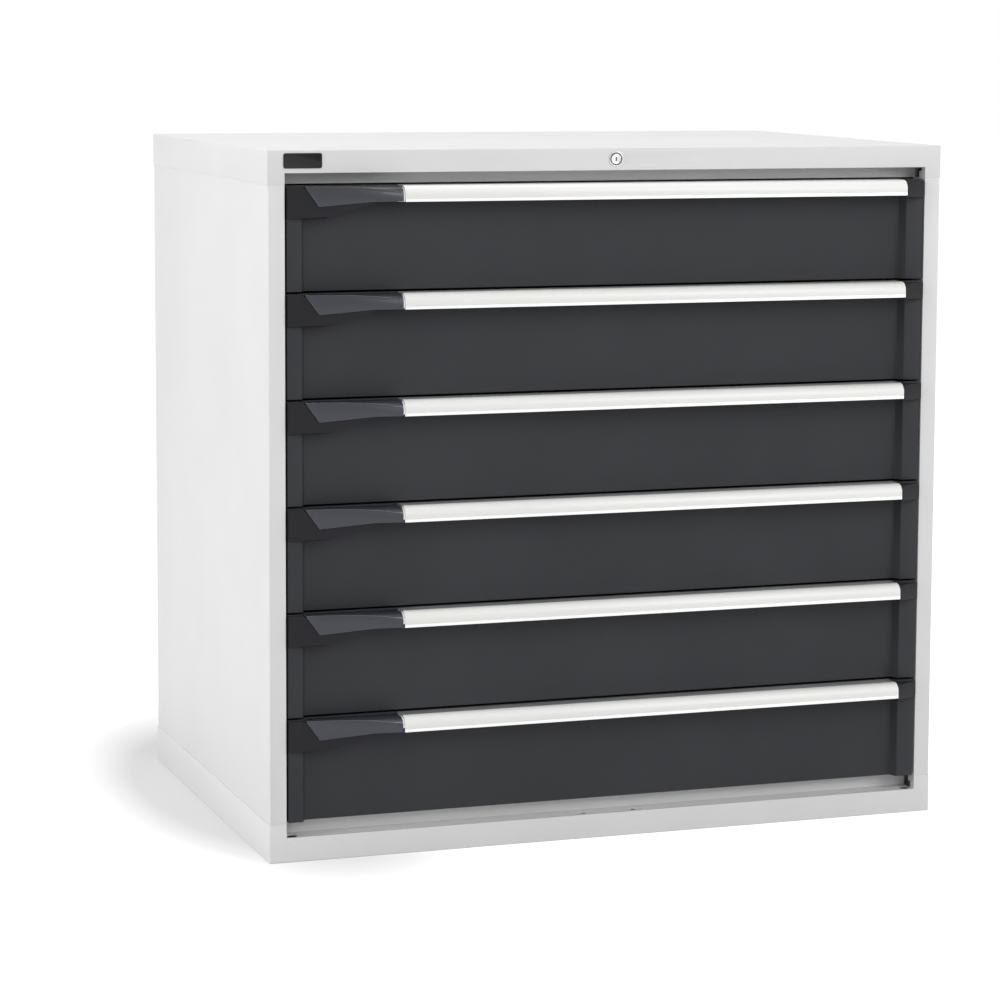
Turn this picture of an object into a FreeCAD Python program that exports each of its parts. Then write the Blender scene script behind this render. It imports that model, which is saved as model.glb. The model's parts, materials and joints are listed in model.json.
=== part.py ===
import FreeCAD, Part
import Sketcher
import math
import os
import re

# Six-drawer storage cabinet of folded sheet steel, in millimetres.
# The origin is on the floor under the middle of the cabinet, +Z is up and the fronts face -Y.

DRAWERS = 6
ROLLER_SIDES = 14

doc = FreeCAD.newDocument("DrawerCabinet")
sheet = doc.addObject("Spreadsheet::Sheet", "sizes")

# Driving dimensions: name, millimetres (or degrees), and what it measures.
SIZES = [
    ("case_width", 1023, "case, over the top cap"),
    ("case_depth", 700, "case, without the handles"),
    ("case_gauge", 1.5, "sheet of the case"),
    ("base_height", 55, "base pan walls"),
    ("base_apron", 35, "front edge of the base, up to its ledge"),
    ("cap_height", 48, "top cap walls"),
    ("cap_apron", 32, "front edge of the top cap, down to its ledge"),
    ("ledge_depth", 35, "fold behind each apron"),
    ("side_inset", 1, "side panel behind the pan walls"),
    ("stile_width", 25, "visible front stile"),
    ("stile_return", 34, "inner fold of the stile"),
    ("rear_flange", 25, "fold at the back of a side panel"),
    ("back_gauge", 1, "sheet of the back panel"),
    ("back_overlap", 20, "back panel behind the walls of the pans"),
    ("overrun", 5, "how far a cut passes the face it opens"),
    ("ledge_hole_radius", 6.5, "round holes at the ends of the base ledge"),
    ("ledge_hole_inset", 10.5, "ledge hole from the edge of the opening"),
    ("ledge_hole_setback", 12, "ledge holes behind the front"),
    ("keyhole_offset", 38.5, "round end of a keyhole from the middle"),
    ("keyhole_radius", 5, "round end of a keyhole"),
    ("keyhole_slot", 5, "width of a keyhole's slot"),
    ("keyhole_reach", 17, "slot beyond the centre of the round end"),
    ("floor_hole_radius", 5.5, "floor fixing holes"),
    ("floor_hole_inset_side", 75, "floor holes from the sides"),
    ("floor_hole_inset_front", 95, "floor holes from front and back"),
    ("post_step", 1.5, "post behind the edge of the opening"),
    ("post_setback", 36, "front post behind the front"),
    ("post_width", 40, "post along the side"),
    ("rear_post_gap", 30, "rear post in front of the back"),
    ("slot_width", 6, "post slots"),
    ("slot_height", 14, "post slots"),
    ("slot_rise", 92, "first slot above the base pan"),
    ("runner_gauge", 2, "runner channels of case and drawer"),
    ("runner_depth", 10, "case channel, web to tip"),
    ("runner_height", 44, "all channels"),
    ("runner_level", 60, "middle of the channels above the foot of the drawer space"),
    ("runner_front", 42, "case channel behind the front"),
    ("runner_rear", 20, "case channel in front of the back"),
    ("carriage_gap", 1.5, "carriage plate to the case channel"),
    ("carriage_gauge", 3, "carriage plate"),
    ("carriage_height", 30, "carriage plate"),
    ("carriage_front", 40, "carriage plate behind the front"),
    ("carriage_rear", 70, "carriage plate in front of the back"),
    ("channel_gap", 1, "drawer channel to the carriage plate"),
    ("channel_depth", 9.3, "drawer channel, web to tip"),
    ("channel_front", 30, "drawer channel behind the front"),
    ("roller_play", 0.3, "roller to the flanges"),
    ("roller_side_gap", 0.5, "roller to web and plate"),
    ("roller_inset", 20, "outer roller of a pair from the plate's end"),
    ("roller_spacing", 260, "between the two rollers of a pair"),
    ("front_height", 146.5, "drawer front"),
    ("front_gap", 3, "between two fronts"),
    ("side_gap", 3, "front to stile"),
    ("front_gauge", 1.2, "sheet of the drawer front"),
    ("front_return", 20, "depth of the drawer front"),
    ("dish_depth", 13, "recessed field of the front"),
    ("dish_left", 21, "flush strip left of the field"),
    ("dish_right", 26.5, "flush strip right of the field"),
    ("slope_side", 6, "sloping sides of the field"),
    ("tray_gauge", 1.2, "sheet of the drawer box"),
    ("tray_floor", 10, "underside of the box above the foot of the drawer space"),
    ("tray_top", 135, "rim of the box above the foot of the drawer space"),
    ("tray_rear", 66, "box in front of the back"),
    ("rim_width", 7, "outward rim of the box"),
    ("handle_reach", 25, "handle in front of the case"),
    ("handle_height", 22.5, "front face of the handle"),
    ("handle_round", 13, "rounded upper edge of the handle"),
    ("handle_wall", 2.5, "wall of the handle profile"),
    ("handle_leg", 24, "rear leg of the handle profile"),
    ("bead_depth", 4, "finger bead at the lower edge"),
    ("bead_height", 2.5, "finger bead at the lower edge"),
    ("label_recess", 0.8, "channel for the label strip"),
    ("label_play", 0.1, "label strip in its channel"),
    ("lower_lip", 4.5, "lip below the label strip"),
    ("end_room", 4.4, "rail to the slope of the field"),
    ("cap_end_reach", 3.5, "end cap at its outer end"),
    ("cap_top_drop", 2.5, "top of the end cap below the top of the rail"),
    ("cap_crease", 6, "steep part of the end cap beside the rail"),
    ("cap_foot", 26.5, "foot of the end cap below the top, at its outer end"),
    ("cap_inner_foot", 24.5, "foot of the end cap below the top, beside the rail"),
    ("grip_width", 161.5, "grip at the left end"),
    ("grip_gap", 1.5, "grip to the rail"),
    ("grip_reach", 4, "grip in front of the drawer front, at its left end"),
    ("grip_drop", 3.6, "top of the housing below the top of the front"),
    ("block_drop", 1.2, "top of the housing's left block below the top of the front"),
    ("block_gap", 1, "left block to the lever"),
    ("grip_height", 45.5, "housing at its left end"),
    ("grip_corner", 51, "end of the tall part of the housing"),
    ("grip_neck", 133, "start of the low part of the housing"),
    ("grip_low", 21, "foot of the low part below the top"),
    ("grip_slope", 6, "sloping foot of the housing"),
    ("grip_wall", 2.5, "walls of the housing"),
    ("grip_deck", 4.5, "top wall of the housing above the drawer front"),
    ("grip_cavity_start", 62, "hollow under the housing, from the left"),
    ("grip_back_start", 27.5, "rear part of the housing, from the left"),
    ("lever_wall", 2, "walls of the lever"),
    ("lever_play", 0.4, "lever to the housing"),
    ("lever_drop", 1, "top of the lever below the top of the front"),
    ("lever_start", 23.5, "upper left corner of the lever"),
    ("lever_low_start", 43, "lower left corner of the lever"),
    ("lever_low", 28.5, "lower left corner below the top"),
    ("lever_neck", 121, "where the lever's lower edge levels out"),
    ("lever_foot", 21.8, "level lower edge below the top"),
    ("lever_end_gap", 1, "lever to the end of the grip"),
    ("lever_back", 5, "pivot axis behind the front"),
    ("pivot_drop", 3.2, "pivot axis below the top of the front"),
    ("pin_radius", 1.5, "pivot pin"),
    ("pin_play", 0.06, "pivot pin in its bore"),
    ("knuckle_half", 2.2, "square knuckle of the lever, from the axis to its sides"),
    ("groove_play", 0.4, "knuckle to the housing"),
    ("ear_start", 32, "left ear of the pin, from the left"),
    ("ear_width", 4, "ears of the pin"),
    ("ear_half_depth", 3, "ears of the pin, from the axis"),
    ("ear_play", 0.8, "ears to the lever in front of them"),
    ("ear_end_gap", 2.5, "right ear to the end of the grip"),
    ("badge_width", 55, "bare plate"),
    ("badge_height", 21, "bare plate"),
    ("badge_gauge", 1.2, "bare plate"),
    ("badge_corner", 3, "corner radius of the bare plate"),
    ("badge_inset", 23.2, "bare plate from the left edge of the case"),
    ("badge_drop", 4.5, "bare plate below the top"),
    ("lock_drop", 16, "lock below the top"),
    ("lock_shank", 14, "square shank of the lock"),
    ("lock_hole_play", 0.1, "shank of the lock in its hole"),
    ("lock_ring_radius", 10.5, "ring in front of the apron"),
    ("lock_ring_reach", 1.8, "ring in front of the apron"),
    ("lock_length", 22, "lock behind the front"),
    ("lock_case_width", 26, "case of the lock behind the apron"),
    ("lock_case_height", 22, "case of the lock behind the apron"),
    ("barrel_radius", 6, "plug of the lock"),
    ("barrel_play", 0.05, "plug in its body"),
    ("barrel_sink", 0.4, "plug behind the face of the ring"),
    ("keyway_width", 1.4, "keyway"),
    ("keyway_height", 6.4, "keyway"),
    ("keyway_depth", 6, "keyway"),
    ("cam_gap", 1.5, "cam behind the lock body"),
    ("cam_gauge", 2, "cam"),
    ("cam_reach", 10.5, "tip of the cam from the axis"),
    ("cam_heel", 6.5, "heel of the cam from the axis"),
    ("cam_half_width", 4.5, "cam across its length"),
    ("cam_pin_radius", 2, "pin on the cam"),
    ("cam_pin_offset", 4.5, "pin on the cam, sideways and down"),
    ("cam_pin_play", 0.35, "pin in the slot of the rod"),
    ("rod_gap", 0.5, "rod behind the cam"),
    ("rod_gauge", 2, "lock rod"),
    ("rod_play", 0.3, "lock rod above the ledge"),
    ("rod_height", 15.5, "lock rod"),
    ("rod_tail", 14, "lock rod left of the lock"),
    ("rod_arm_width", 12, "arm at the right end of the rod"),
    ("rod_post_gap", 11, "arm to the post"),
    ("wedge_rise", 12, "sloping face of the wedge"),
    ("wedge_tip", 1.5, "tip of the wedge in the post"),
    ("wedge_width", 9, "wedge along the side"),
    ("wedge_play", 0.5, "wedge to the tab of the bar"),
    ("bar_gap", 1, "lock bar to the web of its post"),
    ("bar_gauge", 3, "lock bar"),
    ("bar_setback", 6, "lock bar behind the front of its post"),
    ("bar_width", 12, "lock bar"),
    ("bar_foot", 7, "lock bar above the foot of the opening"),
    ("tab_crown", 4, "tab above the wedge face"),
    ("window_play", 1.5, "windows of the post round what passes"),
    ("tooth_width", 4, "tooth, front to back"),
    ("tooth_height", 8, "tooth"),
    ("tooth_reach", 9, "tooth out of the post"),
    ("tooth_level", 12, "foot of a tooth above the foot of the drawer space"),
    ("lock_travel", 9, "travel of rod and bar"),
    ("lug_gap", 1, "lug above a tooth, and behind it"),
    ("lug_gauge", 3, "lug"),
    ("lug_height", 7, "lug"),
    ("lug_overlap", 5, "lug over a tooth, sideways"),
]

for row, (alias, number, meaning) in enumerate(SIZES, start=1):
    sheet.set(f"A{row}", meaning)
    sheet.set(f"B{row}", str(number))
    sheet.setAlias(f"B{row}", alias)
doc.recompute()
ALIASES = {alias for alias, number, meaning in SIZES}

# Places that follow from the driving dimensions.
PLACES = {
    "half_width": "case_width / 2",
    "front_y": "(handle_reach - case_depth) / 2",
    "back_y": "front_y + case_depth",
    "pitch": "front_height + front_gap",
    "opening_top": f"base_height + {DRAWERS} * pitch",
    "case_top": "opening_top + cap_height",
    "side_face": "half_width - side_inset",
    "side_inner": "side_face - case_gauge",
    "opening_x": "half_width - stile_width",
    "post_x": "opening_x - post_step",
    "post_y": "front_y + post_setback",
    "rear_post_y": "back_y - rear_post_gap - post_width",
    "runner_tip": "post_x - runner_depth",
    "runner_back": "back_y - runner_rear",
    "carriage_outer": "runner_tip - carriage_gap",
    "carriage_inner": "carriage_outer - carriage_gauge",
    "carriage_start": "front_y + carriage_front",
    "carriage_end": "back_y - carriage_rear",
    "channel_tip": "carriage_inner - channel_gap",
    "tray_x": "channel_tip - channel_depth",
    "return_y": "front_y + front_return",
    "tray_front": "field_y + front_gauge",
    "tray_back": "back_y - tray_rear",
    "roller_radius": "runner_height / 2 - runner_gauge - roller_play",
    "front_half": "opening_x - side_gap",
    "front_foot": "front_gap / 2",
    "front_top": "front_foot + front_height",
    "field_y": "front_y + dish_depth",
    "rail_left": "grip_width + grip_gap - front_half",
    "rail_right": "front_half - dish_right - slope_side - end_room",
    "handle_face": "front_y - handle_reach",
    "pivot_y": "front_y + lever_back",
    "pivot_z": "front_top - pivot_drop",
    "grip_left": "-front_half",
    "grip_right": "grip_left + grip_width",
    "lever_right": "grip_right - lever_end_gap",
    "lever_shell": "lever_wall + lever_play",
    "ear_end": "grip_right - ear_end_gap",
    "knuckle_room": "knuckle_half * sqrt(2) + groove_play",
    "lock_z": "case_top - lock_drop",
    "cam_y": "front_y + lock_length + cam_gap",
    "rod_y": "cam_y + cam_gauge + rod_gap",
    "rod_z": "case_top - cap_apron + case_gauge + rod_play",
    "bar_x": "post_x + case_gauge + bar_gap",
    "bar_y": "post_y + bar_setback",
    "bar_back": "bar_y + bar_width",
    "wedge_y": "bar_back + window_play",
    "wedge_end": "post_x + case_gauge",
    "tooth_y": "bar_y + case_gauge",
    "lug_y": "tooth_y + tooth_width + lug_gap",
    "lug_z": "tooth_level + tooth_height + lug_gap",
}


def bound(text):
    """Write out the named places in an expression and point its sizes at the sheet."""
    def swap(match):
        word = match.group(0)
        if word in PLACES:
            return "(" + bound(PLACES[word]) + ")"
        return "sizes." + word if word in ALIASES else word
    return re.sub(r"[a-z][a-z_]*", swap, text)


def value(text):
    """The number that an expression stands for."""
    return float(sheet.evalExpression(bound(text)))


def new_body(label):
    """An empty body whose label names its piece."""
    body = doc.addObject("PartDesign::Body", label)
    body.Label = label
    return body


def sketch_on(body, plane, level):
    """A sketch on one of the body's own origin planes, moved along the plane's normal."""
    sketch = body.newObject("Sketcher::SketchObject", "Sketch")
    origin_plane = [item for item in body.Origin.OriginFeatures if item.Role == plane + "_Plane"][0]
    sketch.AttachmentSupport = [(origin_plane, "")]
    sketch.MapMode = "FlatFace"
    sketch.setExpression("AttachmentOffset.Base.z", bound(level))
    return sketch


def pin_point(sketch, geometry, end, across, up):
    """Hold a point of the sketch at two expressions measured from its origin."""
    for kind, text in (("DistanceX", across), ("DistanceY", up)):
        index = sketch.addConstraint(Sketcher.Constraint(kind, -1, 1, geometry, end, value(text)))
        sketch.setExpression(f"Constraints[{index}]", bound(text))


def draw_outline(sketch, corners):
    """A closed outline. A corner is (across, up), or (across, up, radius, turn) where the edge that
    leads to it is an arc that turns left (1) or right (-1)."""
    spots = [FreeCAD.Vector(value(corner[0]), value(corner[1]), 0) for corner in corners]
    count = len(corners)
    first = sketch.GeometryCount
    for number, spot in enumerate(spots):
        following = (number + 1) % count
        target = spots[following]
        if len(corners[following]) == 2:
            sketch.addGeometry(Part.LineSegment(spot, target))
            continue
        radius, turn = value(corners[following][2]), corners[following][3]
        chord = target - spot
        side = FreeCAD.Vector(-chord.y, chord.x, 0).normalize() * turn
        rise = math.sqrt(max(radius ** 2 - (chord.Length / 2) ** 2, 0))
        middle = (spot + target) * 0.5 + side * (rise - radius)
        sketch.addGeometry(Part.Arc(spot, middle, target))
    for number, corner in enumerate(corners):
        following = (number + 1) % count
        start, after = edge_ends(corners, number)[0], edge_ends(corners, following)[0]
        finish = edge_ends(corners, number)[1]
        sketch.addConstraint(Sketcher.Constraint("Coincident", first + number, finish,
                                                 first + following, after))
        pin_point(sketch, first + number, start, corner[0], corner[1])
        if len(corners[following]) == 4:
            radius = corners[following][2]
            index = sketch.addConstraint(Sketcher.Constraint("Radius", first + number, value(radius)))
            sketch.setExpression(f"Constraints[{index}]", bound(radius))


def edge_ends(corners, number):
    """Which ends of an edge are its start and its finish: an arc that turns right runs backwards."""
    following = corners[(number + 1) % len(corners)]
    backwards = len(following) == 4 and following[3] < 0
    return (2, 1) if backwards else (1, 2)


def draw_circle(sketch, across, up, radius):
    """A circle held by its centre and radius."""
    centre = FreeCAD.Vector(value(across), value(up), 0)
    number = sketch.addGeometry(Part.Circle(centre, FreeCAD.Vector(0, 0, 1), value(radius)))
    pin_point(sketch, number, 3, across, up)
    index = sketch.addConstraint(Sketcher.Constraint("Radius", number, value(radius)))
    sketch.setExpression(f"Constraints[{index}]", bound(radius))


def rectangle(left, low, right, high):
    """Corners of a rectangle from expressions."""
    return [(left, low), (right, low), (right, high), (left, high)]


def square(up, half):
    """Corners of a square on the middle line."""
    return rectangle(f"-({half})", f"{up} - ({half})", half, f"{up} + ({half})")


def add_feature(body, kind, plane, start, end, corners, circles):
    """A pad or pocket between two levels along the plane's axis. XZ sketches look along -Y."""
    level = f"-({end})" if plane == "XZ" else start
    sketch = sketch_on(body, plane, level)
    if corners:
        draw_outline(sketch, corners)
    for circle in circles:
        draw_circle(sketch, *circle)
    feature = body.newObject("PartDesign::" + kind, kind)
    feature.Profile = sketch
    feature.setExpression("Length", bound(f"({end}) - ({start})"))
    feature.Reversed = kind == "Pocket"
    body.Tip = feature
    return feature


def slab(body, plane, start, end, corners=(), circles=()):
    """Add material between two levels."""
    return add_feature(body, "Pad", plane, start, end, corners, circles)


def cut(body, plane, start, end, corners=(), circles=()):
    """Take material away between two levels."""
    return add_feature(body, "Pocket", plane, start, end, corners, circles)


def prism(label, plane, start, end, corners):
    """A body of one pad."""
    body = new_body(label)
    slab(body, plane, start, end, corners)
    return body


def combine(kind, label, *shapes):
    """A boolean of whole bodies: Cut takes two, MultiFuse, MultiCommon and Compound any number."""
    result = doc.addObject("Part::" + kind, label)
    result.Label = label
    if kind == "Cut":
        result.Base, result.Tool = shapes
    elif kind == "Compound":
        result.Links = list(shapes)
    else:
        result.Shapes = list(shapes)
    return result


def box(label, low, high):
    """A block between two corners."""
    block = doc.addObject("Part::Box", label)
    for axis, size, near, far in zip("xyz", ("Length", "Width", "Height"), low, high):
        block.setExpression(size, bound(f"({far}) - ({near})"))
        block.setExpression(f"Placement.Base.{axis}", bound(near))
    return block


def cylinder_x(label, radius, start, end, across, up):
    """A round bar along X."""
    bar = doc.addObject("Part::Cylinder", label)
    bar.setExpression("Radius", bound(radius))
    bar.setExpression("Height", bound(f"({end}) - ({start})"))
    bar.Placement.Rotation = FreeCAD.Rotation(FreeCAD.Vector(0, 1, 0), 90)
    for axis, place in zip("xyz", (start, across, up)):
        bar.setExpression(f"Placement.Base.{axis}", bound(place))
    return bar


# Case

def make_pan(label, wall, apron):
    """A folded pan with its plate at z 0, walls up and a ledge and lip behind the front apron."""
    pan = new_body(label)
    slab(pan, "XY", "0", wall, rectangle("-half_width", "front_y", "half_width", "back_y"))
    cut(pan, "XY", "case_gauge", f"{wall} + overrun",
        rectangle("case_gauge - half_width", "front_y + case_gauge",
                  "half_width - case_gauge", "back_y - case_gauge"))
    cut(pan, "XZ", "front_y - overrun", "front_y + case_gauge",
        rectangle("-opening_x", apron, "opening_x", f"{wall} + overrun"))
    slab(pan, "XY", f"{apron} - case_gauge", apron,
         rectangle("-opening_x", "front_y", "opening_x", "front_y + ledge_depth"))
    slab(pan, "XY", f"{apron} - case_gauge", wall,
         rectangle("-opening_x", "front_y + ledge_depth - case_gauge",
                   "opening_x", "front_y + ledge_depth"))
    return pan


def make_base_pan():
    """The base, with its ledge holes, keyholes and floor fixing holes."""
    pan = make_pan("base_pan", "base_height", "base_apron")
    hole_y = "front_y + ledge_hole_setback"
    ledge = ("base_apron - case_gauge - overrun", "base_apron + overrun")
    for side in ("-", ""):
        cut(pan, "XY", *ledge,
            circles=[(f"{side}(opening_x - ledge_hole_inset)", hole_y, "ledge_hole_radius")])
        cut(pan, "XY", *ledge, circles=[(f"{side}keyhole_offset", hole_y, "keyhole_radius")])
        near, far = f"{side}keyhole_offset", f"{side}(keyhole_offset + keyhole_reach)"
        cut(pan, "XY", *ledge,
            rectangle(near, f"{hole_y} - keyhole_slot / 2", far, f"{hole_y} + keyhole_slot / 2"))
        for end in ("front_y + floor_hole_inset_front", "back_y - floor_hole_inset_front"):
            cut(pan, "XY", "-overrun", "case_gauge + overrun",
                circles=[(f"{side}(half_width - floor_hole_inset_side)", end, "floor_hole_radius")])
    return pan


def make_top_cap():
    """The same pan upside down, with the hole of the lock in its apron."""
    pan = make_pan("top_cap", "cap_height", "cap_apron")
    cut(pan, "XZ", "front_y - overrun", "front_y + case_gauge + overrun",
        square("lock_drop", "lock_shank / 2 + lock_hole_play"))
    pan.Placement.Rotation = FreeCAD.Rotation(FreeCAD.Vector(0, 1, 0), 180)
    pan.setExpression("Placement.Base.z", bound("case_top"))
    return pan


def make_side_panel(label, side):
    """Outer sheet, front stile with its inner return, and rear flange, as one folded profile."""
    stile_back = "front_y + stile_return"
    corners = [
        ("side_face - rear_flange", "back_y"), ("side_face", "back_y"), ("side_face", "front_y"),
        ("opening_x", "front_y"), ("opening_x", stile_back),
        ("opening_x + case_gauge", stile_back), ("opening_x + case_gauge", "front_y + case_gauge"),
        ("side_inner", "front_y + case_gauge"), ("side_inner", "back_y - case_gauge"),
        ("side_face - rear_flange", "back_y - case_gauge"),
    ]
    corners = [(f"{side}({across})", up) for across, up in corners]
    return prism(label, "XY", "base_height", "opening_top", corners)


def make_back_panel():
    """A flat sheet inside the rear flanges and the walls of the pans."""
    face = "back_y - case_gauge"
    return prism("back_panel", "XZ", f"{face} - back_gauge", face,
                 rectangle("-side_inner", "base_height - back_overlap",
                           "side_inner", "opening_top + back_overlap"))


def make_post(label, side, start):
    """A channel open to the side panel, with a slot in its web for each drawer's runner."""
    web, flange = "post_x + case_gauge", "side_inner"
    end = f"{start} + post_width"
    corners = [
        ("post_x", start), (flange, start), (flange, f"{start} + case_gauge"),
        (web, f"{start} + case_gauge"), (web, f"{end} - case_gauge"),
        (flange, f"{end} - case_gauge"), (flange, end), ("post_x", end),
    ]
    post = new_body(label)
    slab(post, "XY", "case_gauge", "case_top - case_gauge",
         [(f"{side}({across})", up) for across, up in corners])
    middle = f"{end} - post_width / 4"
    low = "base_height + slot_rise"
    span = ("post_x - overrun", "post_x + case_gauge + overrun")
    if side == "-":
        span = (f"-({span[1]})", f"-({span[0]})")
    slot = cut(post, "YZ", *span,
               rectangle(f"{middle} - slot_width / 2", low,
                         f"{middle} + slot_width / 2", f"{low} + slot_height"))
    pattern = post.newObject("PartDesign::LinearPattern", "Slots")
    pattern.Originals = [slot]
    pattern.Direction = (slot.Profile[0], ["V_Axis"])
    pattern.setExpression("Length", bound(f"{DRAWERS - 1} * pitch"))
    pattern.Occurrences = DRAWERS
    post.Tip = pattern
    return post


def make_posts():
    """Four posts. The right front one has windows for the teeth of the lock bar and its wedge."""
    posts = [make_post(f"post_{number}", side, start) for number, (side, start) in enumerate(
        (("-", "post_y"), ("", "post_y"), ("-", "rear_post_y"), ("", "rear_post_y")), start=1)]
    lock_post = posts[1]
    web = ("post_x - overrun", "post_x + case_gauge")
    for number in range(1, DRAWERS + 1):
        foot = f"{drawer_z(number)} + tooth_level - window_play"
        cut(lock_post, "YZ", *web,
            rectangle("tooth_y - window_play", foot, "tooth_y + tooth_width + window_play",
                      f"{foot} + tooth_height + lock_travel + 2 * window_play"))
    cut(lock_post, "YZ", *web,
        rectangle("bar_back - window_play", "rod_z - window_play",
                  "wedge_y + wedge_width + window_play", "case_top - case_gauge - window_play"))
    return combine("Compound", "slotted_posts", *posts)


def drawer_z(number):
    """Foot of a drawer's space. Drawer 1 is at the top."""
    return f"base_height + {DRAWERS - number} * pitch"


def make_runners():
    """A channel on each side of each drawer, open to the drawer."""
    runners = []
    for number in range(1, DRAWERS + 1):
        middle = f"{drawer_z(number)} + runner_level"
        low, high = f"{middle} - runner_height / 2", f"{middle} + runner_height / 2"
        corners = [
            ("runner_tip", low), ("post_x", low), ("post_x", high), ("runner_tip", high),
            ("runner_tip", f"{high} - runner_gauge"), ("post_x - runner_gauge", f"{high} - runner_gauge"),
            ("post_x - runner_gauge", f"{low} + runner_gauge"), ("runner_tip", f"{low} + runner_gauge"),
        ]
        for side, hand in (("-", "left"), ("", "right")):
            runners.append(prism(f"runner_{hand}_{number}", "XZ", "front_y + runner_front",
                                 "runner_back", [(f"{side}({across})", up) for across, up in corners]))
    return combine("Compound", "cabinet_runners", *runners)


def make_badge():
    """A bare plate with rounded corners."""
    left, right = "badge_inset - half_width", "badge_inset + badge_width - half_width"
    high, low = "case_top - badge_drop", "case_top - badge_drop - badge_height"
    corners = [
        (f"{left} + badge_corner", low), (f"{right} - badge_corner", low),
        (right, f"{low} + badge_corner", "badge_corner", 1), (right, f"{high} - badge_corner"),
        (f"{right} - badge_corner", high, "badge_corner", 1), (f"{left} + badge_corner", high),
        (left, f"{high} - badge_corner", "badge_corner", 1), (left, f"{low} + badge_corner"),
    ]
    first = (corners[0][0], low, "badge_corner", 1)
    return prism("badge_plate", "XZ", "front_y - badge_gauge", "front_y", [first] + corners[1:])


# Lock

def make_lock_body():
    """Round ring, square shank through the apron and case behind it, bored for the plug."""
    lock = new_body("lock_body")
    ring_face = "front_y - lock_ring_reach"
    case_face = "front_y + case_gauge"
    slab(lock, "XZ", ring_face, "front_y", circles=[("0", "lock_z", "lock_ring_radius")])
    slab(lock, "XZ", "front_y", case_face, square("lock_z", "lock_shank / 2"))
    slab(lock, "XZ", case_face, "front_y + lock_length",
         rectangle("-lock_case_width / 2", "lock_z - lock_case_height / 2",
                   "lock_case_width / 2", "lock_z + lock_case_height / 2"))
    cut(lock, "XZ", f"{ring_face} - overrun", "front_y + lock_length + overrun",
        circles=[("0", "lock_z", "barrel_radius + barrel_play")])
    return lock


def make_lock_barrel():
    """Plug with its keyway, a flat cam behind it and the eccentric pin that drives the rod."""
    barrel = new_body("lock_barrel")
    face = "front_y - lock_ring_reach + barrel_sink"
    slab(barrel, "XZ", face, "cam_y", circles=[("0", "lock_z", "barrel_radius")])
    slab(barrel, "XZ", "cam_y", "cam_y + cam_gauge", [
        ("(cam_half_width - cam_reach) / sqrt(2)", "lock_z - (cam_reach + cam_half_width) / sqrt(2)"),
        ("(cam_heel + cam_half_width) / sqrt(2)", "lock_z + (cam_heel - cam_half_width) / sqrt(2)"),
        ("(cam_heel - cam_half_width) / sqrt(2)", "lock_z + (cam_heel + cam_half_width) / sqrt(2)"),
        ("-(cam_reach + cam_half_width) / sqrt(2)", "lock_z + (cam_half_width - cam_reach) / sqrt(2)")])
    slab(barrel, "XZ", "cam_y + cam_gauge", "rod_y + rod_gauge + rod_gap",
         circles=[("-cam_pin_offset", "lock_z - cam_pin_offset", "cam_pin_radius")])
    cut(barrel, "XZ", f"{face} - overrun", f"{face} + keyway_depth",
        rectangle("-keyway_width / 2", "lock_z - keyway_height / 2",
                  "keyway_width / 2", "lock_z + keyway_height / 2"))
    return barrel


def make_lock_rod():
    """Flat rod above the ledge, with the slot of the cam pin and a wedge that enters the post."""
    rod = new_body("lock_rod")
    arm_right = "post_x - rod_post_gap"
    arm_left = f"{arm_right} - rod_arm_width"
    slab(rod, "XZ", "rod_y", "rod_y + rod_gauge",
         rectangle("-rod_tail", "rod_z", arm_right, "rod_z + rod_height"))
    reach = "(cam_pin_radius + cam_pin_play)"
    cut(rod, "XZ", "rod_y - overrun", "rod_y + rod_gauge + overrun",
        rectangle(f"-cam_pin_offset - {reach}",
                  f"lock_z - sqrt(2) * cam_pin_offset - {reach}",
                  f"{reach} - cam_pin_offset", f"lock_z - cam_pin_offset + {reach}"))
    slab(rod, "XY", "rod_z", "rod_z + rod_gauge",
         rectangle(arm_left, "rod_y", arm_right, "wedge_y + wedge_width"))
    tip = "wedge_end + wedge_tip - wedge_play"
    slab(rod, "XZ", "wedge_y", "wedge_y + wedge_width",
         [(arm_left, "rod_z"), (tip, "rod_z"), (f"{tip} - wedge_rise", "rod_z + wedge_rise"),
          (arm_left, "rod_z + wedge_rise")])
    return rod


def make_lock_bar():
    """Flat bar inside the post. The tab that the wedge lifts is riveted on, and so is one tooth for
    each drawer."""
    outer = "bar_x + bar_gauge"
    crown = "rod_z + wedge_rise + tab_crown"
    strip = prism("bar_strip", "YZ", "bar_x", outer,
                  rectangle("bar_y", "base_height + bar_foot", "bar_back", crown))
    tip = "wedge_end + wedge_tip"
    tab = prism("bar_tab", "XZ", "bar_back", "wedge_y + wedge_width",
                [(outer, f"rod_z + {tip} - ({outer})"), (outer, crown),
                 (f"{tip} - wedge_rise", crown), (f"{tip} - wedge_rise", "rod_z + wedge_rise")])
    teeth = []
    for number in range(1, DRAWERS + 1):
        foot = f"{drawer_z(number)} + tooth_level"
        teeth.append(prism(f"tooth_{number}", "YZ", "post_x - tooth_reach", "bar_x",
                           rectangle("tooth_y", foot,
                                     "tooth_y + tooth_width", f"{foot} + tooth_height")))
    return combine("Compound", "lock_bar", strip, tab, *teeth)


# One drawer, with the foot of its space at z 0

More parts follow.
